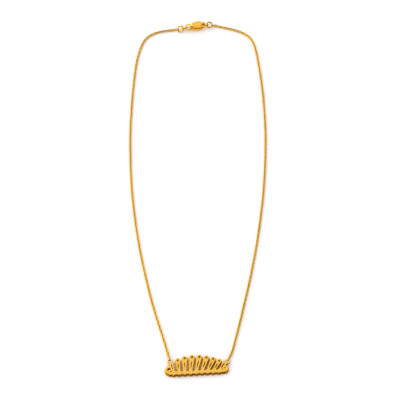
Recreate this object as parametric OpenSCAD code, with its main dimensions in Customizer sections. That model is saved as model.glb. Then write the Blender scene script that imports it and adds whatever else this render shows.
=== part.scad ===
/* [Nameplate] */
// Width of the ornament, without its end rings
plate_w = 31; // [26:0.5:38]
// Height of the ornament, from its foot to the tip of the tallest plume
plate_h = 10; // [8.5:0.25:12]
// Thickness of the front sheet
face_t = 1.0; // [0.7:0.05:1.4]
// Thickness of the back sheet
back_t = 0.9; // [0.6:0.05:1.3]
// Air between the two sheets
sheet_gap = 0.6; // [0.4:0.05:1.0]
// How far the back sheet stands out round the front sheet
rim = 0.35; // [0.15:0.05:0.5]
// Width of the vein sawn through each plume of the front sheet
vein_w = 0.45; // [0.3:0.05:0.6]
// Width of the band of a curl
curl_w = 1.15; // [0.8:0.05:1.4]
// Height of the stem that the plumes stand on
stem_h = 1.3; // [0.9:0.05:1.8]
// Turn of the nameplate where it lies, seen from above
plate_turn = 3.3; // [0:0.1:8]

/* [Rings] */
// Outer diameter of the rings soldered to the nameplate
end_ring_od = 2.8; // [2.4:0.1:3.4]
// Wire of the rings soldered to the nameplate
end_ring_wire = 0.6; // [0.45:0.05:0.7]
// Outer diameter of the jump rings beside the clasp
jump_ring_od = 3.8; // [3.6:0.1:4.2]
// Wire of the jump rings
jump_ring_wire = 0.7; // [0.56:0.02:0.74]

/* [Clasp] */
// Length of the clasp from its nose to the end of its eye
clasp_l = 10.2; // [9.6:0.1:12]
// Height of the clasp, from its arm to the back of its lever
clasp_h = 4.2; // [3.9:0.1:4.8]
// Width of the clasp across its lever
clasp_w = 3.4; // [2.8:0.1:4]
// Thickness of the fixed arm
arm_t = 1.75; // [1.4:0.05:1.9]
// Thickness of the lever
lever_t = 1.1; // [0.9:0.05:1.2]
// Thickness of the nose, at the end of the hook
nose_t = 0.85; // [0.7:0.05:1.0]
// Width of the hook, where the catch ring hangs in it
nose_w = 0.84; // [0.7:0.02:1.0]
// Width of the neck that carries the lever
neck_w = 2.1; // [1.8:0.1:2.6]
// Thickness of the eye
eye_t = 1.0; // [0.8:0.05:1.1]
// Outer radius of the eye
eye_r = 1.0; // [0.95:0.05:1.2]
// Radius of the hinge pin
pin_r = 0.3; // [0.2:0.02:0.36]
// Thickness of the lever's tail, between the two cheeks of the neck
tail_t = 0.84; // [0.7:0.02:1.0]
// Height of the thumb bar above the lever
thumb_h = 0.55; // [0.3:0.05:0.8]
// Turn of the clasp where it lies, seen from above
clasp_turn = 8.7; // [0:0.1:15]

/* [Chain] */
// Width of the chain
chain_w = 1.35; // [0.9:0.05:1.5]

/* [Fits] */
// Running clearance of the lever on its pin, on the radius
pin_clear = 0.04; // [0.02:0.01:0.08]
// Gap between pieces that lie beside each other
gap = 0.08; // [0.05:0.01:0.12]

/* [Hidden] */
$fn = 48;

// The loop lies on the surface z = 0, and its origin is the middle of the nameplate's back.
// Plumes: foot x as a share of plate_w, foot y and length as shares of plate_h, width at the
// round tip as a share of plate_w, lean in degrees to the right of straight up, and
// the radius of the eye pierced in the tip as a share of the width.
PLUMES = [
  [-0.366, -0.40, 0.62, 0.064, -10, 0],
  [-0.278, -0.40, 0.76, 0.074, -4, 0.2],
  [-0.191, -0.40, 0.86, 0.080, 2, 0.2],
  [-0.103, -0.40, 0.91, 0.084, 8, 0.2],
  [-0.016, -0.40, 0.92, 0.084, 14, 0.2],
  [0.072, -0.40, 0.88, 0.080, 20, 0.2],
  [0.160, -0.40, 0.81, 0.076, 26, 0.2],
  [0.247, -0.40, 0.71, 0.072, 32, 0.2],
  [0.335, -0.40, 0.62, 0.066, 38, 0]
];
X = 0;
Y = 1;
LENGTH = 2;
WIDTH = 3;
LEAN = 4;
EYE = 5;
// Radius of a plume's foot as a share of its width
foot_share = 0.27;

// Curls: middle x as a share of plate_w, middle y and start radius as shares of plate_h,
// and the side that the curl opens to, 1 or -1.
RADIUS = 2;
SIDE = 3;
CURLS = [
  [-0.428, -0.205, 0.195, 1],
  [0.430, -0.275, 0.135, -1]
];
CURL_STEPS = 28;
// A curl winds in from below the stem, and its radius and its band shrink on the way
curl_start = 305;
curl_sweep = 400;
curl_shrink = 0.66;
curl_thin = 0.4;
// Radius of the knob at its end, as a share of its band
curl_knob = 0.46;

// Where a vein starts and ends and where a post stands, as shares of the plume's length
vein_from = 0.22;
vein_to = 0.84;
vein_to_eye = 0.66;
post_at = 0.13;
post_r = 0.36;
// Scallops under the stem, one at each plume's foot
scallop_r = stem_h * 0.8;
stem_y = -0.40 * plate_h;
plate_t = back_t + sheet_gap + face_t;
ring_z = back_t + sheet_gap / 2;
// Round pad that joins an end ring to the tip of its plume, as a share of the ring's wire
pad_share = 0.85;
pad_r = end_ring_wire * pad_share;
pad_inset = 0.12;
end_ring_r = (end_ring_od - end_ring_wire) / 2;
// Ring's direction from the tip that carries it
LEFT_RING_WAY = 115;
RIGHT_RING_WAY = 28;

// Clasp, in its own frame: x from nose to eye, z up, its lever on top
clasp_at = [0.9, 192.1];
nose_x = -clasp_l / 2;
eye_x = clasp_l / 2 - eye_r;
eye_z = clasp_h / 2;
// Room round the jump ring's wire in the eye
eye_room = 0.26;
eye_hole_r = jump_ring_wire / 2 + eye_room;
// Flat flanks of the eye and of the neck behind it, as shares of the eye's radius
eye_flank = 0.85;
neck_flank = 0.8;
claw_r = clasp_h / 2;
claw_share = 0.765;
claw_end = nose_x + clasp_l * claw_share;
lever_z = clasp_h - lever_t;
mouth_r = (lever_z - arm_t) / 2;
mouth_x = nose_x + nose_t;
// The pin stands this far from the eye's hole and from the arm
neck_run = 0.96;
pivot_rise = 0.6;
pivot_x = eye_x - eye_hole_r - pin_r - neck_run;
pivot_z = arm_t + pivot_rise;
// Metal over the pin, in the cheeks and in the lever's boss
cheek_wall = 0.65;
boss_wall = 0.3;
cheek_top = pivot_z + pin_r + cheek_wall;
boss_r = pin_r + boss_wall;
// Slant on the front edge and the back edge of a cheek
cheek_slant = 0.1;
cheek_back = 0.35;
slot_t = tail_t + 2 * gap;
slot_end = pivot_x + boss_r + gap;
// The flat end of the lever, and the root of the neck in the arm behind it
lever_back = 1.0;
lever_end = pivot_x - lever_back;
neck_root = 0.9;
root_share = 0.45;
// The claw is widest here, as a share of its length back from the lever's end
wide_share = 0.25;
wide_x = lever_end - (lever_end - nose_x) * wide_share;
// The nose tapers to this share of the hook's width, and the hook is as narrow for hook_run
nose_taper = 0.76;
hook_run = 0.5;
// The catch ring's wire lies in the hook behind the nose, and the lever's tip swings past it
wire_x = mouth_x + jump_ring_wire / 2 + 2 * gap;
tip_x = wire_x + jump_ring_wire / 2 + 3 * gap;
// The lip of the hook laps over the lever's tip
lip_run = 0.42;
lip_x = tip_x + lip_run;
lip_t = 0.48;
lip_gap = 2.4 * gap;
// The lever's tail: its root in the lever, and the post of the thumb bar
tail_root = 0.7;
tail_drop = 0.45;
tail_rise = 0.35;
tail_foot = 0.6;
tail_share = 0.9;
thumb_back = 0.2;
thumb_x = pivot_x - thumb_back;
thumb_r = 0.36;
thumb_post = 0.3;
thumb_share = 0.75;
pin_seat = 0.02;

// Jump rings, in the clasp's frame: middle x, z, tilt about x and pitch about y
jump_ring_r = (jump_ring_od - jump_ring_wire) / 2;
// Linked rings lie this share of their inner width apart
ring_share = 0.91;
ring_step = (jump_ring_od - 2 * jump_ring_wire) * ring_share;
CATCH_PITCH = 13;
EYE_PITCH = 16;
catch_x = wire_x - jump_ring_r * cos(CATCH_PITCH);
TILT = 2;
PITCH = 3;
JUMP_RINGS = [
  [catch_x - 2 * ring_step, jump_ring_wire / 2 + 0.95, 24, -16],
  [catch_x - ring_step, jump_ring_wire / 2 + 1.36, -60, -12],
  [catch_x, lever_z - mouth_r - jump_ring_r * sin(CATCH_PITCH), 8, -CATCH_PITCH],
  [eye_x + jump_ring_r * cos(EYE_PITCH), eye_z - jump_ring_r * sin(EYE_PITCH), 9, EYE_PITCH]
];

// Where a chain ends, beside the far side of its jump ring: side -1 at the left, 1 at the right
chain_gap = 0.4;
function beside(ring, side) =
  let (
    reach = ring[X] + side * (jump_ring_r * cos(ring[PITCH]) + jump_ring_wire / 2 + chain_gap),
    z = ring[Y] - side * jump_ring_r * sin(ring[PITCH])
  )
  [clasp_at[X] + reach * cos(clasp_turn), clasp_at[Y] + reach * sin(clasp_turn), z];

// Height of the chain's middle line where the chain lies, just clear of the surface
lie = chain_w / 2 + gap;
// Middle line of the chain, from the nameplate to the clasp: x, y, z
LEFT_ROUTE = [
  [-13.3, 3.5, 1.2], [-14.5, 8, lie], [-16.8, 16, lie], [-19.2, 24, lie], [-21.5, 32, lie],
  [-23.5, 40, lie], [-25.3, 48, lie], [-27, 56, lie], [-28.5, 64, lie], [-29.8, 72, lie],
  [-30.9, 80, lie], [-32.3, 92, lie], [-33.2, 104, lie], [-33.7, 116, lie], [-33.9, 128, lie],
  [-33.6, 140, lie], [-33, 152, lie], [-32, 164, lie], [-31, 172, lie], [-29.6, 178, lie],
  [-27.8, 183, lie], [-25.2, 186.4, lie], [-22, 188.3, lie], [-18, 189.6, lie], [-14.4, 190.1, lie],
  beside(JUMP_RINGS[0], -1)
];
RIGHT_ROUTE = [
  [15.5, 3.4, 1.2], [17.2, 8, lie], [19.2, 16, lie], [21.1, 24, lie], [22.9, 32, lie],
  [24.7, 40, lie], [26.4, 48, lie], [27.9, 56, lie], [29.3, 64, lie], [30.5, 72, lie],
  [31.6, 80, lie], [33, 92, lie], [33.9, 104, lie], [34.5, 116, lie], [34.7, 128, lie],
  [34.4, 140, lie], [33.7, 152, lie], [32.5, 164, lie], [31.4, 172, lie], [30.2, 179, lie],
  [28.5, 184, lie], [25.8, 187.2, lie], [22, 189.4, lie], [18, 190.8, lie], [14, 191.8, lie],
  [11, 192.6, lie], beside(JUMP_RINGS[3], 1)
];
TUBE_SIDES = 8;
ARC_STEPS = 16;
FINE = 128;
// Facing surfaces cross at this share of their depth, and a cut runs past a face by this much
cross_share = 0.985;
past = 0.1;

// Point on the smooth curve through the points p, in the stretch after point i
function smooth(p, i, t) =
  let (n = len(p) - 1, a = p[max(i - 1, 0)], b = p[i], c = p[i + 1], d = p[min(i + 2, n)])
  0.5 * (2 * b + (c - a) * t + (2 * a - 5 * b + 4 * c - d) * t * t + (3 * b - a - 3 * c + d) * t * t * t);
function unit(v) = v / norm(v);
function halved(p) = [
  for (i = [0 : len(p) - 2]) each [p[i], smooth(p, i, 0.5)],
  p[len(p) - 1]
];

// A tube of radius r along the points p, closed at both ends
module tube(p, r) {
  last = len(p) - 1;
  points = [
    for (i = [0 : last])
      let (
        ahead = unit(p[min(i + 1, last)] - p[max(i - 1, 0)]),
        side = unit(cross(ahead, [0, 0, 1])),
        up = cross(side, ahead)
      )
      for (k = [0 : TUBE_SIDES - 1])
        let (a = k * 360 / TUBE_SIDES)
        p[i] + r * (cos(a) * side + sin(a) * up)
  ];
  walls = [
    for (i = [0 : last - 1], k = [0 : TUBE_SIDES - 1])
      let (a = i * TUBE_SIDES + k, b = i * TUBE_SIDES + (k + 1) % TUBE_SIDES)
      [a, a + TUBE_SIDES, b + TUBE_SIDES, b]
  ];
  start = [for (k = [0 : TUBE_SIDES - 1]) k];
  end = [for (k = [TUBE_SIDES - 1 : -1 : 0]) last * TUBE_SIDES + k];
  polyhedron(points, concat([start], walls, [end]));
}

// A wire ring about z
module wire_ring(radius, wire) {
  rotate_extrude()
    translate([radius, 0])
      circle(d = wire);
}

function foot(plume) = [plume[X] * plate_w, plume[Y] * plate_h];
function way(plume) = [sin(plume[LEAN]), cos(plume[LEAN])];
function length_of(plume) = plume[LENGTH] * plate_h;
function width_of(plume) = plume[WIDTH] * plate_w;
function tip(plume) = foot(plume) + length_of(plume) * way(plume);

module at_plume(row) {
  translate(foot(row))
    rotate([0, 0, -row[LEAN]])
      children();
}
// A plume: a small circle at the foot, a larger one at the tip and straight flanks between them
module plume(row, t, grow) {
  r_tip = width_of(row) / 2;
  r_foot = width_of(row) * foot_share;
  reach = length_of(row) - r_tip;
  dip = (r_foot - r_tip) / reach;
  flank = [sqrt(1 - dip * dip), dip] * cross_share;
  at_plume(row) {
    cylinder(r = r_foot + grow, h = t);
    translate([0, reach, 0])
      cylinder(r = r_tip + grow, h = t);
    linear_extrude(t)
      polygon([
        (r_foot + grow) * flank,
        [0, reach] + (r_tip + grow) * flank,
        [-(r_tip + grow) * flank[0], reach + (r_tip + grow) * flank[1]],
        [-(r_foot + grow) * flank[0], (r_foot + grow) * flank[1]]
      ]);
  }
}
// A slit with two points, cut where the vein of a plume runs, and the eye in its tip
module vein(row) {
  from = vein_from * length_of(row);
  length = ((row[EYE] > 0 ? vein_to_eye : vein_to) - vein_from) * length_of(row);
  r = (length * length + vein_w * vein_w) / (4 * vein_w);
  at_plume(row)
    translate([0, 0, -past]) {
      intersection() {
        translate([vein_w / 2 - r, from + length / 2, 0])
          cylinder(r = r, h = face_t + 2 * past, $fn = FINE);
        translate([r - vein_w / 2, from + length / 2, 0])
          cylinder(r = r, h = face_t + 2 * past, $fn = FINE);
      }
      if (row[EYE] > 0)
        translate([0, length_of(row) - width_of(row) / 2, 0])
          cylinder(r = row[EYE] * width_of(row), h = face_t + 2 * past);
    }
}
// Point of a curl's edge at the share u of its way in, side 1 outside and -1 inside
function curl_edge(start_r, u, side, grow) =
  let (
    a = curl_start - curl_sweep * u,
    r = start_r * (1 - curl_shrink * u) + side * (curl_w / 2 * (1 - curl_thin * u) + grow)
  )
  [r * cos(a), r * sin(a)];
module curl_place(row) {
  translate([row[X] * plate_w, row[Y] * plate_h, 0])
    mirror([row[SIDE] > 0 ? 0 : 1, 0, 0])
      children();
}
module open_curl(row, t) {
  start_r = row[RADIUS] * plate_h;
  end_a = curl_start - curl_sweep;
  end_r = start_r * (1 - curl_shrink);
  shares = [for (i = [0 : CURL_STEPS]) i / CURL_STEPS];
  curl_place(row) {
    linear_extrude(t)
      polygon(concat(
        [for (u = shares) curl_edge(start_r, u, 1, 0)],
        [for (u = shares) curl_edge(start_r, 1 - u, -1, 0)]
      ));
    translate([end_r * cos(end_a), end_r * sin(end_a), 0])
      cylinder(r = curl_w * curl_knob, h = t);
  }
}
// The back sheet is whole behind a curl: it fills the curl's outermost turn
module whole_curl(row, t, grow) {
  turn = 360 / curl_sweep;
  curl_place(row)
    linear_extrude(t)
      polygon([
        for (i = [0 : CURL_STEPS - 1])
          curl_edge(row[RADIUS] * plate_h, turn * i / CURL_STEPS, 1, grow)
      ]);
}
module stem(t, grow) {
  from = CURLS[0][X] * plate_w;
  to = CURLS[1][X] * plate_w;
  translate([from, stem_y - (stem_h / 2 + grow) * cross_share, 0])
    cube([to - from, (stem_h + 2 * grow) * cross_share, t]);
  for (x = [from, to])
    translate([x, stem_y, 0])
      cylinder(r = stem_h / 2 + grow, h = t);
  for (row = PLUMES)
    translate([foot(row)[X], stem_y, 0])
      cylinder(r = scallop_r + grow, h = t);
}
module front_sheet() {
  translate([0, 0, back_t + sheet_gap])
    difference() {
      union() {
        for (row = PLUMES)
          plume(row, face_t, 0);
        for (row = CURLS)
          open_curl(row, face_t);
        stem(face_t, 0);
      }
      for (row = PLUMES)
        vein(row);
    }
}
module back_sheet() {
  for (row = PLUMES)
    plume(row, back_t, rim);
  for (row = CURLS)
    whole_curl(row, back_t, rim);
  stem(back_t, rim);
}
module end_ring(row, direction) {
  at = tip(row) - (pad_r + pad_inset) * way(row);
  translate([at[X], at[Y], back_t / 2]) {
    cylinder(r = pad_r, h = plate_t - back_t / 2 - face_t / 2);
    translate([end_ring_r * cos(direction), end_ring_r * sin(direction), ring_z - back_t / 2])
      wire_ring(end_ring_r, end_ring_wire);
  }
}
module nameplate() {
  color("goldenrod")
    rotate([0, 0, plate_turn]) {
      back_sheet();
      front_sheet();
      for (row = PLUMES)
        at_plume(row)
          translate([0, post_at * length_of(row), back_t / 2])
            cylinder(r = post_r, h = sheet_gap + back_t / 2 + face_t / 2);
      end_ring(PLUMES[0], LEFT_RING_WAY);
      end_ring(PLUMES[len(PLUMES) - 1], RIGHT_RING_WAY);
    }
}

module chain_left() {
  color("gold")
    tube(halved(LEFT_ROUTE), chain_w / 2);
}
module chain_right() {
  color("gold")
    tube(halved(RIGHT_ROUTE), chain_w / 2);
}

module in_clasp_frame() {
  translate(clasp_at)
    rotate([0, 0, clasp_turn])
      children();
}
module jump_ring(row) {
  in_clasp_frame()
    translate([row[X], 0, row[Y]])
      rotate([row[TILT], row[PITCH], 0])
        wire_ring(jump_ring_r, jump_ring_wire);
}
module jump_ring_left() {
  color("gold")
    jump_ring(JUMP_RINGS[0]);
}
module joining_link() {
  color("gold")
    jump_ring(JUMP_RINGS[1]);
}
module catch_ring() {
  color("gold")
    jump_ring(JUMP_RINGS[2]);
}
module jump_ring_right() {
  color("gold")
    jump_ring(JUMP_RINGS[3]);
}

// Turns a flat side view, x along the clasp and y up, into a solid of width w
module side_view(w) {
  rotate([90, 0, 0])
    linear_extrude(w, center = true)
      children();
}
// Plan of the claw: widest at wide_x, and nose_w wide where the mouth ends
module claw_plan() {
  run = wide_x - mouth_x;
  swell = (clasp_w - nose_w) / 2;
  r = (run * run + swell * swell) / (2 * swell);
  intersection() {
    translate([wide_x, clasp_w / 2 - r, -1])
      cylinder(r = r, h = clasp_h + 2, $fn = FINE);
    translate([wide_x, r - clasp_w / 2, -1])
      cylinder(r = r, h = clasp_h + 2, $fn = FINE);
  }
  translate([nose_x - 1, -nose_w * nose_taper / 2, -1])
    cube([mouth_x + hook_run - (nose_x - 1), nose_w * nose_taper, clasp_h + 2]);
}
function arc(middle, r, from, to) = [
  for (i = [0 : ARC_STEPS])
    let (a = from + (to - from) * i / ARC_STEPS)
    middle + r * [cos(a), sin(a)]
];
module claw_side() {
  polygon(concat(
    arc([nose_x + claw_r, claw_r], claw_r, 90, 270),
    arc([claw_end - claw_r, claw_r], claw_r, -90, 90)
  ));
}
module mouth_side() {
  polygon(concat(
    arc([mouth_x + mouth_r, arm_t + mouth_r], mouth_r, 90, 270),
    [[lever_end + gap, arm_t], [lever_end + gap, lever_z]]
  ));
}
// The fixed arm and the hook, without the lip's step and what stands behind the mouth
module hook_side() {
  difference() {
    claw_side();
    mouth_side();
    translate([lip_x, arm_t + mouth_r])
      square([clasp_l, clasp_h]);
    translate([lever_end, arm_t])
      square([clasp_l, clasp_h]);
    translate([tip_x - 2 * gap, arm_t + mouth_r])
      square([clasp_l, clasp_h - lip_t - arm_t - mouth_r]);
  }
}
module neck_side() {
  polygon([
    [lever_end - neck_root, arm_t * root_share],
    [lever_end - neck_root, arm_t],
    [lever_end + gap, arm_t],
    [lever_end + gap, cheek_top - cheek_slant],
    [lever_end + gap + cheek_slant, cheek_top],
    [pivot_x + cheek_back, cheek_top],
    [slot_end + cheek_back, eye_z + eye_r * neck_flank],
    [slot_end + cheek_back, eye_z - eye_r * neck_flank],
    [pivot_x + thumb_back, arm_t * root_share]
  ]);
}
module eye_side() {
  translate([eye_x, eye_z])
    circle(eye_r);
  translate([slot_end, eye_z - eye_r * eye_flank])
    square([eye_x - slot_end, 2 * eye_r * eye_flank]);
}
// A round hole or rod across the clasp
module across(x, z, r, w) {
  translate([x, 0, z])
    rotate([90, 0, 0])
      cylinder(r = r, h = w, center = true);
}
module clasp_body() {
  color("goldenrod")
    in_clasp_frame()
      difference() {
        union() {
          intersection() {
            side_view(clasp_w + 1)
              hook_side();
            claw_plan();
          }
          side_view(neck_w)
            neck_side();
          side_view(eye_t)
            eye_side();
        }
        translate([lever_end - past, -slot_t / 2, pivot_z - boss_r - gap])
          cube([slot_end - lever_end + past, slot_t, clasp_h]);
        across(pivot_x, pivot_z, pin_r + pin_seat, neck_w + 1);
        across(eye_x, eye_z, eye_hole_r, eye_t + 1);
      }
}
// The lever's plate, with a thinner tip under the lip
module lever_side() {
  intersection() {
    claw_side();
    union() {
      translate([lip_x + lip_gap, lever_z])
        square([lever_end - lip_x - lip_gap, lever_t]);
      translate([tip_x, lever_z])
        square([lever_end - tip_x, lever_t - lip_t - gap]);
    }
  }
}
// The lever's tail, with the boss round the pin and the post of the thumb bar
module tail_side() {
  translate([lever_end - tail_root, lever_z - tail_drop])
    square([tail_root - past / 10, tail_drop + tail_rise]);
  polygon([
    [lever_end - tail_foot, lever_z - tail_drop],
    [pivot_x, pivot_z - boss_r * tail_share],
    [pivot_x + boss_r * tail_share, pivot_z],
    [thumb_x + thumb_post, clasp_h + thumb_h],
    [thumb_x - thumb_post, clasp_h + thumb_h],
    [thumb_x - tail_rise, lever_z + thumb_post],
    [lever_end - tail_foot, lever_z + thumb_post]
  ]);
  translate([pivot_x, pivot_z])
    circle(boss_r);
}
module clasp_lever() {
  color("gold")
    in_clasp_frame()
      difference() {
        union() {
          intersection() {
            side_view(clasp_w + 1)
              lever_side();
            claw_plan();
          }
          side_view(tail_t)
            tail_side();
          across(thumb_x, clasp_h + thumb_h, thumb_r, neck_w * thumb_share);
        }
        across(pivot_x, pivot_z, pin_r + pin_clear, tail_t + 1);
      }
}
module clasp_pin() {
  color("darkgoldenrod")
    in_clasp_frame()
      across(pivot_x, pivot_z, pin_r, neck_w);
}

nameplate();
chain_left();
chain_right();
jump_ring_left();
joining_link();
catch_ring();
clasp_body();
clasp_lever();
clasp_pin();
jump_ring_right();
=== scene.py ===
# %% [markdown]
# # A gold nameplate necklace on a pale table
# The solid model comes first: it fixes every size and place, in metres, with z up from the table.
# This script gives it the looks of the real necklace: rounded edges on the double nameplate, some
# three hundred interlocking links in place of the two plain tubes, a cast lobster clasp with wire
# rings, and the finishes of worked gold. Each step says what the real thing is and how it is made.

import bmesh
import bpy
import numpy as np
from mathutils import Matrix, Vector


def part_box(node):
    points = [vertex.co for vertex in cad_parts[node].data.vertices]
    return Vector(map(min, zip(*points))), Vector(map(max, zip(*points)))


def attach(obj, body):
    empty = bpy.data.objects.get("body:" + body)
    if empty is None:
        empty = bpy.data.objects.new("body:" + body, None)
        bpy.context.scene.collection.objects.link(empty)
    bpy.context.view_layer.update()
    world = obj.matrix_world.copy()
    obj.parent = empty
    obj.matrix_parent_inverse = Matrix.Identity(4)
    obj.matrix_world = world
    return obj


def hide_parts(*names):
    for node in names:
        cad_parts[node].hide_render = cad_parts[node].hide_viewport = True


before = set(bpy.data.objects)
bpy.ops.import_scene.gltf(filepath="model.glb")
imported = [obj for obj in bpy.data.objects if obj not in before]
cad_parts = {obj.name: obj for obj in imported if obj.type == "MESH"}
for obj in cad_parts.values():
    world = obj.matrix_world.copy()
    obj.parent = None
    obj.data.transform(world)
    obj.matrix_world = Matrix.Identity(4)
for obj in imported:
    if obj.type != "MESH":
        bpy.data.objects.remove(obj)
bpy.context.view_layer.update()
MM, UM = 0.001, 0.000001
NECKLACE, LEVER = "necklace", "lever"

# %% [markdown]
# ## Camera
# A long lens flattens a small thing as a product photo does. The camera stands 1.1 m away, 62
# degrees above the table and square to the nameplate. It aims at the middle of the loop.

# %% Place the camera
AIM = Vector((0.0015, 0.0905, 0.0))
CAMERA_RISE = 62.0
CAMERA_FAR = 1.111
rise = np.radians(CAMERA_RISE)
lens = bpy.data.cameras.new("camera")
lens.lens = 200.0
lens.sensor_width = 36.0
lens.clip_start = 0.01
camera = bpy.data.objects.new("camera", lens)
camera.location = AIM + Vector((0.0, -np.cos(rise), np.sin(rise))) * CAMERA_FAR
camera.rotation_euler = (AIM - camera.location).to_track_quat("-Z", "Y").to_euler()
bpy.context.scene.collection.objects.link(camera)
bpy.context.scene.camera = camera
print("camera at", [round(v, 3) for v in camera.location])

# %% [markdown]
# ## Table and light
# Polished gold has hardly any colour of its own in shade: it shows what stands round it. So the
# light matters as much as the metal. A tent of white cloth stands round the necklace. It lights
# the table evenly, but what the metal mirrors is bright at the upper left and dim on the camera's
# side, which gives each wire a bright flank and a deep brown one. One soft lamp at the left
# throws pale shadows to the right.

# %% Table
scene = bpy.context.scene
scene.view_settings.view_transform = "Standard"


def table_top(half=3.0):
    """A square plane, 2 * half metres wide, at z = 0."""
    mesh = bpy.data.meshes.new("table")
    corners = [(-half, -half, 0), (half, -half, 0), (half, half, 0), (-half, half, 0)]
    mesh.from_pydata(corners, [], [(0, 1, 2, 3)])
    plane = bpy.data.objects.new("table", mesh)
    scene.collection.objects.link(plane)
    matt = bpy.data.materials.new("table")
    matt.use_nodes = True
    shader = matt.node_tree.nodes["Principled BSDF"]
    shader.inputs["Base Color"].default_value = (0.93, 0.93, 0.94, 1)
    shader.inputs["Roughness"].default_value = 0.9
    shader.inputs["Specular IOR Level"].default_value = 0.1
    mesh.materials.append(matt)
    return plane


table = table_top()
print("table:", table.name)

# %% Room and lamps
TENT_PLAIN = 1.04
TENT_BRIGHT = 1.08
TENT_DIM = 0.04
BRIGHT_WAY = (-0.50, 0.75, 0.43)
# The cosines up to which the tent is dim and from which it is bright
DIM_UP_TO, BRIGHT_FROM = -0.15, 0.92


def tent_light():
    """Light from all sides, of strength TENT_PLAIN on matt things. A mirror ray sees a strength
    that runs from TENT_DIM to TENT_BRIGHT with the cosine of its angle to BRIGHT_WAY."""
    tent = bpy.data.worlds.new("tent")
    scene.world = tent
    tent.use_nodes = True
    nodes, links = tent.node_tree.nodes, tent.node_tree.links
    where = nodes.new("ShaderNodeTexCoord")
    cosine = nodes.new("ShaderNodeVectorMath")
    cosine.operation = "DOT_PRODUCT"
    cosine.inputs[1].default_value = BRIGHT_WAY
    ramp = nodes.new("ShaderNodeMapRange")
    ramp.interpolation_type = "SMOOTHSTEP"
    ramp.inputs["From Min"].default_value = DIM_UP_TO
    ramp.inputs["From Max"].default_value = BRIGHT_FROM
    ramp.inputs["To Min"].default_value = TENT_DIM
    ramp.inputs["To Max"].default_value = TENT_BRIGHT
    ray = nodes.new("ShaderNodeLightPath")
    either = nodes.new("ShaderNodeMix")
    either.inputs["A"].default_value = TENT_PLAIN
    back = nodes["Background"]
    back.inputs["Color"].default_value = (1.0, 1.0, 1.0, 1)
    links.new(where.outputs["Generated"], cosine.inputs[0])
    links.new(cosine.outputs["Value"], ramp.inputs["Value"])
    links.new(ray.outputs["Is Glossy Ray"], either.inputs["Factor"])
    links.new(ramp.outputs["Result"], either.inputs["B"])
    links.new(either.outputs["Result"], back.inputs["Strength"])


def soft_lamp(name, at, aim, size, watts, tint):
    """A square lamp of that size in metres, at one point and turned to another."""
    data = bpy.data.lights.new(name, "AREA")
    data.shape = "SQUARE"
    data.size = size
    data.energy = watts
    data.color = tint
    lamp = bpy.data.objects.new(name, data)
    lamp.location = at
    lamp.rotation_euler = (Vector(aim) - Vector(at)).to_track_quat("-Z", "Y").to_euler()
    scene.collection.objects.link(lamp)
    return lamp


KEY_AT = (-0.85, 0.25, 0.85)
KEY_SIZE, KEY_WATTS, KEY_TINT = 1.0, 4.5, (1.0, 0.98, 0.95)
tent_light()
soft_lamp("key", KEY_AT, AIM, KEY_SIZE, KEY_WATTS, KEY_TINT)

# %% [markdown]
# ## Gold finishes
# A metal's colour is the colour of its reflections. Fourteen carat gold reflects most of the red,
# half of the green and little of the blue. Five finishes are made from it: polished castings and
# edges, satin faces rubbed with fine crossing strokes, the burnished head of the pin, sawn walls,
# which stay duller and are painted much darker as painted shade for the gaps between the
# nameplate's sheets, and drawn wire. The drawn wire is deeper in colour, because it mirrors its
# own gold more often.

# %% Finishes
SATIN_TONES = ((0.93, 0.51, 0.065), (0.96, 0.555, 0.09), (0.99, 0.60, 0.12))
# Painted shade: much darker gold for the nameplate's walls and its back sheet between the letters
PAINTED_SHADE_TONES = ((0.60, 0.25, 0.012), (0.68, 0.30, 0.016), (0.76, 0.35, 0.022))
DRAWN_TONES = ((0.86, 0.47, 0.012), (0.94, 0.56, 0.020), (0.99, 0.63, 0.035))
POLISHED_TONES = ((0.88, 0.50, 0.06), (0.95, 0.585, 0.09), (0.99, 0.64, 0.12))
# Where on the noise of the clouds, from 0 to 1, each of the three tones is pure
TONES_AT = (0.25, 0.50, 0.75)
CLOUDS = 1100.0
# Most of the strokes' noise lies between these
STROKES_LOW, STROKES_HIGH = 0.35, 0.75


def fine_strokes(nodes, links, where, grains, long, turn):
    """Noise of that many grains a metre, drawn out to strokes that run at an angle of turn degrees
    and are long times longer than wide."""
    turned = nodes.new("ShaderNodeMapping")
    turned.inputs["Rotation"].default_value = (0, 0, np.radians(turn))
    turned.inputs["Scale"].default_value = (1.0, 1.0 / long, 1.0)
    strokes = nodes.new("ShaderNodeTexNoise")
    strokes.inputs["Scale"].default_value = grains
    strokes.inputs["Detail"].default_value = 4.0
    strokes.inputs["Roughness"].default_value = 0.6
    links.new(where.outputs["Object"], turned.inputs["Vector"])
    links.new(turned.outputs["Vector"], strokes.inputs["Vector"])
    return strokes


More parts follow.
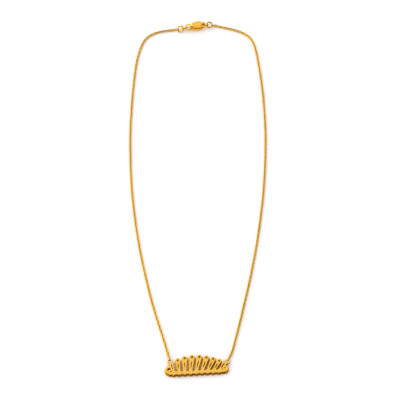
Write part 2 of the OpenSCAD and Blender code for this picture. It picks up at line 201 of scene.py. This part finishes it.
def metal(name, tones, roughness, spread, grains, depth, long=1.0, turns=(0.0, 90.0)):
    """Worked gold. Its colour drifts through three tones in soft clouds, CLOUDS of them a metre.
    Two layers of strokes cross at the two turns, raise the surface by depth metres, and vary its
    roughness by spread."""
    made = bpy.data.materials.new(name)
    made.use_nodes = True
    nodes, links = made.node_tree.nodes, made.node_tree.links
    shader = nodes["Principled BSDF"]
    shader.inputs["Metallic"].default_value = 1.0
    where = nodes.new("ShaderNodeTexCoord")

    clouds = nodes.new("ShaderNodeTexNoise")
    clouds.inputs["Scale"].default_value = CLOUDS
    clouds.inputs["Detail"].default_value = 4.0
    links.new(where.outputs["Object"], clouds.inputs["Vector"])
    tint = nodes.new("ShaderNodeValToRGB")
    stops = tint.color_ramp.elements
    stops.new(TONES_AT[1])
    for stop, at, tone in zip(stops, TONES_AT, tones):
        stop.position = at
        stop.color = (*tone, 1)
    links.new(clouds.outputs["Fac"], tint.inputs["Fac"])
    links.new(tint.outputs["Color"], shader.inputs["Base Color"])

    first = fine_strokes(nodes, links, where, grains, long, turns[0])
    second = fine_strokes(nodes, links, where, grains, long, turns[1])
    both = nodes.new("ShaderNodeMath")
    both.operation = "MAXIMUM"
    links.new(first.outputs["Fac"], both.inputs[0])
    links.new(second.outputs["Fac"], both.inputs[1])
    rough = nodes.new("ShaderNodeMapRange")
    rough.inputs["From Min"].default_value = STROKES_LOW
    rough.inputs["From Max"].default_value = STROKES_HIGH
    rough.inputs["To Min"].default_value = roughness - spread
    rough.inputs["To Max"].default_value = roughness + spread
    links.new(both.outputs["Value"], rough.inputs["Value"])
    links.new(rough.outputs["Result"], shader.inputs["Roughness"])
    relief = nodes.new("ShaderNodeBump")
    relief.inputs["Strength"].default_value = 1.0
    relief.inputs["Distance"].default_value = depth
    links.new(both.outputs["Value"], relief.inputs["Height"])
    links.new(relief.outputs["Normal"], shader.inputs["Normal"])
    return made


polished = metal("polished_gold", POLISHED_TONES, 0.12, 0.04, 3000.0, 3 * UM)
satin = metal("satin_gold", SATIN_TONES, 0.24, 0.07, 14000.0, 7 * UM, 9.0, (35.0, -50.0))
burnished = metal("burnished_gold", SATIN_TONES, 0.16, 0.05, 5000.0, 3 * UM)
sawn_and_painted_shade = metal("sawn_gold_and_painted_shade", PAINTED_SHADE_TONES, 0.34, 0.08, 9000.0, 6 * UM)
drawn = metal("drawn_gold", DRAWN_TONES, 0.14, 0.04, 3500.0, 3 * UM)
print("finishes:", polished.name, satin.name, burnished.name, sawn_and_painted_shade.name, drawn.name)

# %% [markdown]
# ## Helpers
# Wire is a surface on a grid: one parameter runs along it and the other round it. The points are
# worked out as whole arrays and go into the mesh in one call. The nameplate and the clasp start
# from copies of their solids, which are then rounded as the real ones are.

# %% From arrays to a piece
def grid_faces(rows, columns, wrap_rows=False):
    """Quads between neighbouring points of a rows by columns grid, numbered row by row. The last
    column joins the first, and with wrap_rows the last row joins the first too."""
    r = np.arange(rows if wrap_rows else rows - 1)
    r, c = np.meshgrid(r, np.arange(columns), indexing="ij")
    r2, c2 = (r + 1) % rows, (c + 1) % columns
    quads = np.stack([r * columns + c, r2 * columns + c, r2 * columns + c2, r * columns + c2], -1)
    return quads.reshape(-1, 4)


def placed(piece, node, body):
    """A piece that rides on a body of the model in place of a solid."""
    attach(piece, body)
    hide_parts(node)
    return piece


def dressed(mesh, finishes):
    """A mesh that is shaded smooth and has these finishes, in this order, and no others."""
    mesh.shade_smooth()
    mesh.materials.clear()
    for finish in finishes:
        mesh.materials.append(finish)
    return mesh


def wire_piece(node, name, points, faces):
    """Drawn wire in place of a solid: a smooth mesh of those points and faces."""
    mesh = bpy.data.meshes.new(name)
    mesh.from_pydata(np.asarray(points, float).tolist(), [], [list(f) for f in faces])
    piece = bpy.data.objects.new(name, dressed(mesh, [drawn]))
    scene.collection.objects.link(piece)
    return placed(piece, node, NECKLACE)


WELD = 0.2 * UM
FLAT_WITHIN = np.radians(0.3)
SHARP_FROM = np.radians(38)


def softened(node, name, edge, segments, finish, body=NECKLACE):
    """A copy of a solid whose edges sharper than SHARP_FROM are rounded by edge metres. The
    solid's mesh is loose triangles. So points nearer than WELD are merged first, and faces whose
    directions differ by less than FLAT_WITHIN are joined."""
    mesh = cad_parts[node].data.copy()
    mesh.name = name
    shape = bmesh.new()
    shape.from_mesh(mesh)
    bmesh.ops.remove_doubles(shape, verts=shape.verts, dist=WELD)
    bmesh.ops.dissolve_degenerate(shape, edges=shape.edges, dist=WELD)
    bmesh.ops.dissolve_limit(
        shape, angle_limit=FLAT_WITHIN, verts=shape.verts, edges=shape.edges
    )
    shape.to_mesh(mesh)
    shape.free()
    piece = bpy.data.objects.new(name, dressed(mesh, [finish]))
    scene.collection.objects.link(piece)
    rounding = piece.modifiers.new("rounded edges", "BEVEL")
    rounding.width = edge
    rounding.segments = segments
    rounding.limit_method = "ANGLE"
    rounding.angle_limit = SHARP_FROM
    rounding.harden_normals = True
    return placed(piece, node, body)


# Of a face's normal, of length 1, the upward part is more than the first on a level face and less
# than the second on an upright one
LEVEL, UPRIGHT = 0.985, 0.25


def tumbled(node, name, voxel, passes, finishes, body=NECKLACE, above=-1.0, keep=1.0):
    """A copy of a solid that was tumbled smooth. It is rebuilt from cubes of voxel metres, then
    each point moves halfway to the middle of its neighbours, as often as passes says, which
    rounds the edges by about the square root of that many cubes. The share keep of its faces is
    left, and most of the others go where it is flat. Level and upright faces get the first finish
    and the rest the last. Of three finishes, upright faces, and level ones that aren't higher
    than above metres, get the second."""
    piece = bpy.data.objects.new(name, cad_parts[node].data.copy())
    scene.collection.objects.link(piece)
    cubes = piece.modifiers.new("cubes", "REMESH")
    cubes.mode = "VOXEL"
    cubes.voxel_size = voxel
    smooth = piece.modifiers.new("smooth", "SMOOTH")
    smooth.factor = 0.5
    smooth.iterations = passes
    if keep < 1.0:
        piece.modifiers.new("thin out", "DECIMATE").ratio = keep
    now = bpy.context.evaluated_depsgraph_get()
    mesh = bpy.data.meshes.new_from_object(piece.evaluated_get(now))
    mesh.name = name
    piece.modifiers.clear()
    piece.data = dressed(mesh, finishes)
    count = len(mesh.polygons)
    normals, centres = np.empty(count * 3), np.empty(count * 3)
    mesh.polygons.foreach_get("normal", normals)
    mesh.polygons.foreach_get("center", centres)
    slope = np.abs(normals[2::3])
    last = len(finishes) - 1
    which = np.where((slope > LEVEL) | (slope < UPRIGHT), last // 2, last)
    which[(slope > LEVEL) & (centres[2::3] > above)] = 0
    mesh.polygons.foreach_set("material_index", which.astype(np.int32))
    return placed(piece, node, body)


print("helpers ready")

# %% [markdown]
# ## Nameplate
# The plate is two sheets of gold, sawn out and soldered one above the other with air between
# them. After sawing, it is tumbled with steel shot, which rounds and polishes the edges. The shot
# hardly reaches the sawn walls and the back, so they stay rougher. They and the back sheet's top
# between the letters are painted a much darker gold, as painted shade for the gaps between the
# sheets. The front gets its satin finish last. The solid has the right outline, so a copy of it is
# tumbled, and then thinned out where it is flat.

# %% Nameplate
# Only the top of the front sheet is higher than this
BELOW_FRONT = 2.4 * MM
# Painted shade: upright faces, and level faces lower than BELOW_FRONT, get the darker sawn gold
nameplate = tumbled(
    "nameplate", "nameplate_sheets", 0.052 * MM, 12, [satin, sawn_and_painted_shade, polished],
    above=BELOW_FRONT, keep=0.17,
)
print("nameplate faces:", len(nameplate.data.polygons))

# %% [markdown]
# ## Chain
# A fine cable chain: each link is an oval of wire, closed with solder, and each passes through
# the next at a right angle, so that links lie alternately tilted to the left and right. A larger
# link at each end holds the ring that it hangs on. One link is modelled as wire carried round an
# oval, and an array of places and directions along the route repeats it.

# %% Link shape
LINK_WIRE = 0.50 * MM
LINK_LONG = 2.28 * MM
LINK_WIDE = 1.54 * MM
# Sections along the oval, and points round each of them
LINK_AROUND, LINK_SIDES = 14, 6


def round_sections(outward, sides):
    """For each section of a wire in the x-y plane, a circle of radius 1 in as many points as
    sides says: cos b times the section's outward direction, and sin b times z."""
    b = (np.arange(sides) * 2 * np.pi / sides)[None, :, None]
    return np.cos(b) * outward[:, None, :] + np.sin(b) * np.array([0.0, 0.0, 1.0])


def oval_link(length, width, wire):
    """Wire round an oval in the x-y plane. The middle line is a circle whose two halves are
    pulled apart along x: x = r cos a + h s, y = r sin a, where s is 1.8 cos a, but never past
    -1 or 1."""
    a = np.arange(LINK_AROUND) * 2 * np.pi / LINK_AROUND
    r = (width - wire) / 2
    h = (length - width) / 2
    s = np.clip(1.8 * np.cos(a), -1, 1)
    line = np.stack([r * np.cos(a) + h * s, r * np.sin(a), 0 * a], -1)
    along = np.roll(line, -1, 0) - np.roll(line, 1, 0)
    along /= np.linalg.norm(along, axis=1, keepdims=True)
    outward = np.stack([along[:, 1], -along[:, 0], 0 * a], -1)
    return (line[:, None, :] + wire / 2 * round_sections(outward, LINK_SIDES)).reshape(-1, 3)


one_link = oval_link(LINK_LONG, LINK_WIDE, LINK_WIRE)
link_faces = grid_faces(LINK_AROUND, LINK_SIDES, wrap_rows=True)
print("one link:", len(one_link), "points,", len(link_faces), "faces")

# %% Routes of the two chains
# The points are the solid's own, in millimetres: the middle line from the nameplate to the clasp.
LEFT_ROUTE = [
    (-14.5, 8), (-16.8, 16), (-19.2, 24), (-21.5, 32), (-23.5, 40), (-25.3, 48), (-27, 56),
    (-28.5, 64), (-29.8, 72), (-30.9, 80), (-32.3, 92), (-33.2, 104), (-33.7, 116),
    (-33.9, 128), (-33.6, 140), (-33, 152), (-32, 164), (-31, 172), (-29.6, 178),
    (-27.8, 183), (-25.2, 186.4), (-22, 188.3), (-18, 189.6), (-14.4, 190.1),
]
RIGHT_ROUTE = [
    (17.2, 8), (19.2, 16), (21.1, 24), (22.9, 32), (24.7, 40), (26.4, 48), (27.9, 56),
    (29.3, 64), (30.5, 72), (31.6, 80), (33, 92), (33.9, 104), (34.5, 116), (34.7, 128),
    (34.4, 140), (33.7, 152), (32.5, 164), (31.4, 172), (30.2, 179), (28.5, 184),
    (25.8, 187.2), (22, 189.4), (18, 190.8), (14, 191.8), (11, 192.6),
]
# Nearly all links are tilted by less than 60 degrees. At 60, the lowest wire touches the table
# when the link's middle is this high
TOUCHING_TILT = np.radians(60)
LYING = (LINK_WIDE - LINK_WIRE) / 2 * np.sin(TOUCHING_TILT) + LINK_WIRE / 2
STEPS = 40


def route(start, points, end):
    """A smooth line through the start, the points on the table and the end, in metres, with STEPS
    short steps from each point to the next. There it is a cubic: it starts and ends at the two
    points, each time along the line from the point before to the point after."""
    flat = [(x * MM, y * MM, LYING) for x, y in points]
    p = np.array([start, *flat, end], float)
    p = np.vstack([2 * p[:1] - p[1:2], p, 2 * p[-1:] - p[-2:-1]])
    t = np.linspace(0, 1, STEPS, endpoint=False)[:, None]
    stretches = [
        0.5 * (2 * b + (c - a) * t + (2 * a - 5 * b + 4 * c - d) * t**2
               + (3 * b - a - 3 * c + d) * t**3)
        for a, b, c, d in zip(p[:-3], p[1:-2], p[2:-1], p[3:])
    ]
    return np.vstack([*stretches, p[-2:-1]])


def at_length(line, s):
    """Points of a line at the distances s along it, and the line's whole length."""
    steps = np.linalg.norm(np.diff(line, axis=0), axis=1)
    far = np.concatenate([[0], np.cumsum(steps)])
    return np.stack([np.interp(s, far, line[:, k]) for k in range(3)], -1), far[-1]


print("route points:", len(LEFT_ROUTE), "and", len(RIGHT_ROUTE))

# %% [markdown]
# ## Rings beside the clasp
# A jump ring is wire wound on a rod and sawn off, so it is a circle with a fine cut in it. Each
# ring stands where the solid's ring stands: its middle is the middle of the solid's box.

# %% Wire rings
RING_WIRE = 0.70 * MM
RING_WIDE = 3.8 * MM
CLASP_TURN = np.radians(8.7)
# Tilt about the clasp's length and pitch about its width, in degrees
RING_LAY = {
    "jump_ring_left": (24, -16),
    "joining_link": (-60, -12),
    "catch_ring": (8, -13),
    "jump_ring_right": (9, 16),
}
# Where round each ring its cut is, in degrees from the ring's own x axis, and the cut's width
CUT_AT = {"jump_ring_left": 70, "joining_link": 250, "catch_ring": 215, "jump_ring_right": 95}
RING_CUT = 0.9
# Sections along the ring, and points round each of them
RING_AROUND, RING_SIDES = 72, 20


def clasp_axes(tilt, pitch):
    """The columns are a ring's own x, y and z: tilted about x, pitched about y, then turned with
    the clasp about z."""
    t, p, c = np.radians(tilt), np.radians(pitch), CLASP_TURN
    tilt_x = np.array([[1, 0, 0], [0, np.cos(t), -np.sin(t)], [0, np.sin(t), np.cos(t)]])
    pitch_y = np.array([[np.cos(p), 0, np.sin(p)], [0, 1, 0], [-np.sin(p), 0, np.cos(p)]])
    turn_z = np.array([[np.cos(c), -np.sin(c), 0], [np.sin(c), np.cos(c), 0], [0, 0, 1]])
    return turn_z @ pitch_y @ tilt_x


def box_middle(node):
    """The middle of a solid's box, as an array."""
    low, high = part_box(node)
    return (np.array(low) + np.array(high)) / 2


def sawn_ring(node, name, cut_at):
    """A ring of wire with a cut of RING_CUT degrees: an arc that starts and ends beside the angle
    cut_at, a round section of RING_WIRE carried along it, and a flat end on each side."""
    a = np.radians(cut_at + np.linspace(RING_CUT / 2, 360 - RING_CUT / 2, RING_AROUND))
    r = (RING_WIDE - RING_WIRE) / 2
    out = np.stack([np.cos(a), np.sin(a), 0 * a], -1)
    points = r * out[:, None, :] + RING_WIRE / 2 * round_sections(out, RING_SIDES)
    points = points.reshape(-1, 3) @ clasp_axes(*RING_LAY[node]).T + box_middle(node)
    faces = [*grid_faces(RING_AROUND, RING_SIDES)[:, ::-1]]
    faces.append(range(RING_SIDES))
    faces.append(range(RING_AROUND * RING_SIDES - 1, (RING_AROUND - 1) * RING_SIDES - 1, -1))
    return wire_piece(node, name, points, faces)


for node, cut_at in CUT_AT.items():
    ring = sawn_ring(node, node + "_wire", cut_at)
    print(ring.name, "faces:", len(ring.data.polygons))

# %% [markdown]
# ## Laying the links
# Each chain runs from the inside of the ring on the nameplate to the inside of the ring beside
# the clasp. The end links are made larger, so that the thicker ring fits through them.

# %% Links along the routes
END_WIRE = 0.44 * MM
END_LONG = 2.6 * MM
END_WIDE = 1.72 * MM
PLAY = 0.02 * MM
# Tilt of the links in degrees. At the very ends it is more by END_MORE, which falls to a third
# over END_LINKS links
TILT, END_MORE, END_LINKS = 45, 27, 5
# Slow twists of the whole chain: the most in degrees, and the links for each radian
TWISTS = ((12, 9.0), (6, 3.7))
# Spread of each link's own chance twist, in degrees
CHANCE = 3
# Twists grow from none at the ends over this many links
STILL_LINKS = 6
seeded = np.random.default_rng(18)


def chain(node, name, line, count):
    """Links along a line. Each link's two ends lie on the line and its own x axis joins them. It
    is rolled about that axis, each link 90 degrees from the last. Most lie at about TILT, and the
    end links stand steeper, because they hold a flat ring. Slow twists of the whole chain and a
    little chance are added, except at the ends."""
    total = at_length(line, 0.0)[1]
    end_reach = END_LONG - END_WIRE
    reach = LINK_LONG - LINK_WIRE
    lap_end = (END_WIRE + LINK_WIRE) / 2 + PLAY
    first = end_reach - lap_end
    last = total - end_reach + lap_end
    starts = first + np.arange(count) * (last - first - reach) / (count - 1)
    starts = np.concatenate([[0.0], starts, [total - end_reach]])
    reaches = np.concatenate([[end_reach], np.full(count, reach), [end_reach]])
    a, _ = at_length(line, starts)
    b, _ = at_length(line, starts + reaches)
    x = (b - a) / np.linalg.norm(b - a, axis=1, keepdims=True)
    side = np.cross([0.0, 0.0, 1.0], x)
    side /= np.linalg.norm(side, axis=1, keepdims=True)
    up = np.cross(x, side)
    n = np.arange(count + 2)
    inner = np.minimum(n, count + 1 - n)
    twist = sum(most * np.sin(n / slow + seeded.uniform(0, 6)) for most, slow in TWISTS)
    twist = (twist + seeded.normal(0, CHANCE, count + 2)) * np.clip(inner / STILL_LINKS, 0, 1)
    steep = TILT + END_MORE * np.exp(-inner / END_LINKS)
    roll = np.radians(steep - 90 * (n % 2) + twist)
    y = np.cos(roll)[:, None] * side + np.sin(roll)[:, None] * up
    z = np.cross(x, y)
    shape = np.repeat(one_link[None], count + 2, 0)
    shape[[0, -1]] = oval_link(END_LONG, END_WIDE, END_WIRE)
    points = ((a + b) / 2)[:, None, :] + np.einsum("nvk,nkc->nvc", shape, np.stack([x, y, z], 1))
    faces = link_faces[None] + (n * len(one_link))[:, None, None]
    piece = wire_piece(node, name, points.reshape(-1, 3), faces.reshape(-1, 4))
    pitch = (last - first - reach) / (count - 1)
    print(name, "links:", count + 2, "pitch mm:", round(pitch / MM, 3),
          "slack mm:", round((reach - LINK_WIRE - pitch) / MM, 3))
    return piece


def ring_far_side(node, side):
    """Where the wire of a ring beside the clasp is furthest from the clasp, and the way there.
    The side is -1 for the left and 1 for the right."""
    x = clasp_axes(*RING_LAY[node])[:, 0]
    return box_middle(node) + side * x * (RING_WIDE - RING_WIRE) / 2, x * side


def hooked(wire_at, outward, wire):
    """The point where an end link's middle line turns round inside a ring."""
    return wire_at - outward * ((wire + END_WIRE) / 2 + PLAY)


PLATE_RING_WIRE = 0.6 * MM
PLATE_RING_R = 1.1 * MM
# Middles of the two rings on the nameplate
PLATE_RING_LEFT = np.array([-12.90, 1.743, 1.2]) * MM
PLATE_RING_RIGHT = np.array([14.709, 1.755, 1.2]) * MM


def ring_near_side(middle, towards):
    """Where the wire of a ring on the nameplate is nearest to the chain, and the way there."""
    way = np.array([*towards, 1.2]) * MM - middle
    way /= np.linalg.norm(way)
    return middle + way * PLATE_RING_R, way


left_ring, left_out = ring_far_side("jump_ring_left", -1)
right_ring, right_out = ring_far_side("jump_ring_right", 1)
plate_left, out_left = ring_near_side(PLATE_RING_LEFT, LEFT_ROUTE[0])
plate_right, out_right = ring_near_side(PLATE_RING_RIGHT, RIGHT_ROUTE[0])
left_line = route(
    hooked(plate_left, out_left, PLATE_RING_WIRE),
    LEFT_ROUTE,
    hooked(left_ring, left_out, RING_WIRE),
)
right_line = route(
    hooked(plate_right, out_right, PLATE_RING_WIRE),
    RIGHT_ROUTE,
    hooked(right_ring, right_out, RING_WIRE),
)
for line in (left_line, right_line):
    print("line length mm:", round(at_length(line, 0.0)[1] / MM, 2))
# Links between the two end links of each chain
COUNT_LEFT, COUNT_RIGHT = 160, 163
chain_left = chain("chain_left", "chain_left_links", left_line, COUNT_LEFT)
chain_right = chain("chain_right", "chain_right_links", right_line, COUNT_RIGHT)
print("chain faces:", len(chain_left.data.polygons), "and", len(chain_right.data.polygons))

# %% [markdown]
# ## Clasp
# A lobster clasp is cast in two pieces: the body with its hook, neck and eye, and the lever that
# turns on a pin between the neck's cheeks. Castings have no sharp edge left after tumbling.

# %% Clasp
VOXEL, PASSES = 0.055 * MM, 14
body = tumbled("clasp_body", "clasp_body_cast", VOXEL, PASSES, [polished])
lever = tumbled(
    "clasp_lever", "clasp_lever_cast", VOXEL, PASSES, [satin, polished], LEVER
)
pin = softened("clasp_pin", "clasp_pin_head", 0.06 * MM, 2, burnished)
print("clasp faces:", len(body.data.polygons), "and", len(lever.data.polygons))
print("clasp pieces:", body.name, lever.name, pin.name)
